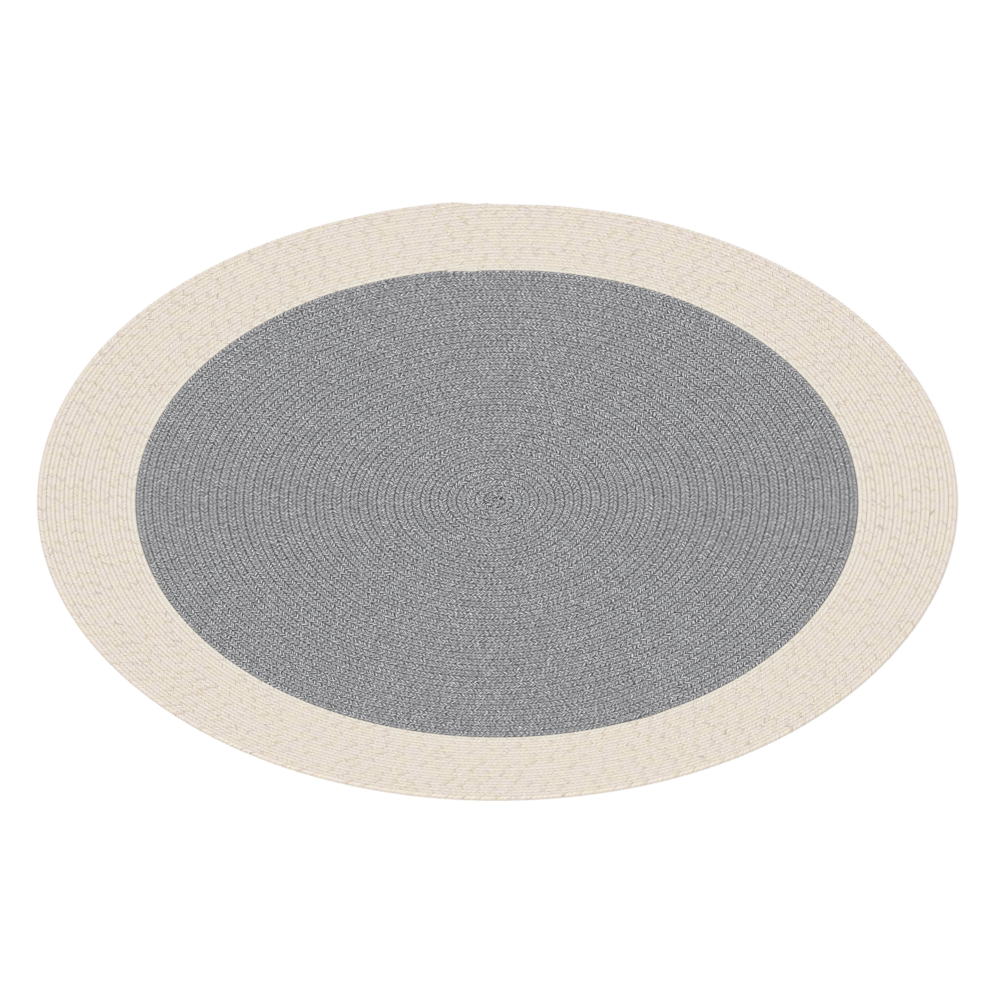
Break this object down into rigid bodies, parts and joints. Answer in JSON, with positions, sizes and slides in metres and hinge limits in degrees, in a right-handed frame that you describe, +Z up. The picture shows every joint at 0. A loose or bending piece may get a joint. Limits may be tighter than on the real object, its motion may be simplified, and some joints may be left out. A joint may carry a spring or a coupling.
{
  "type": "round outdoor rug",
  "caption": "Round flat-braided outdoor rug, coiled from one long cord: heathered grey field with a wide cream border.",
  "frame": {"origin": "on the floor, under the centre of the rug's outside box", "axes": "+Z up, through the thickness; +X to the right and +Y away from the viewer, where the cord's tail and the splice lie"},
  "size_m": [1.2198, 1.2194, 0.005],
  "materials": {
    "grey_cord": "matt heathered grey polypropylene braid",
    "cream_cord": "matt cream polypropylene braid with tan flecks"
  },
  "bodies": {
    "root": {"field_coil": "grey_cord", "border_coil": "cream_cord"}
  },
  "joints": []
}
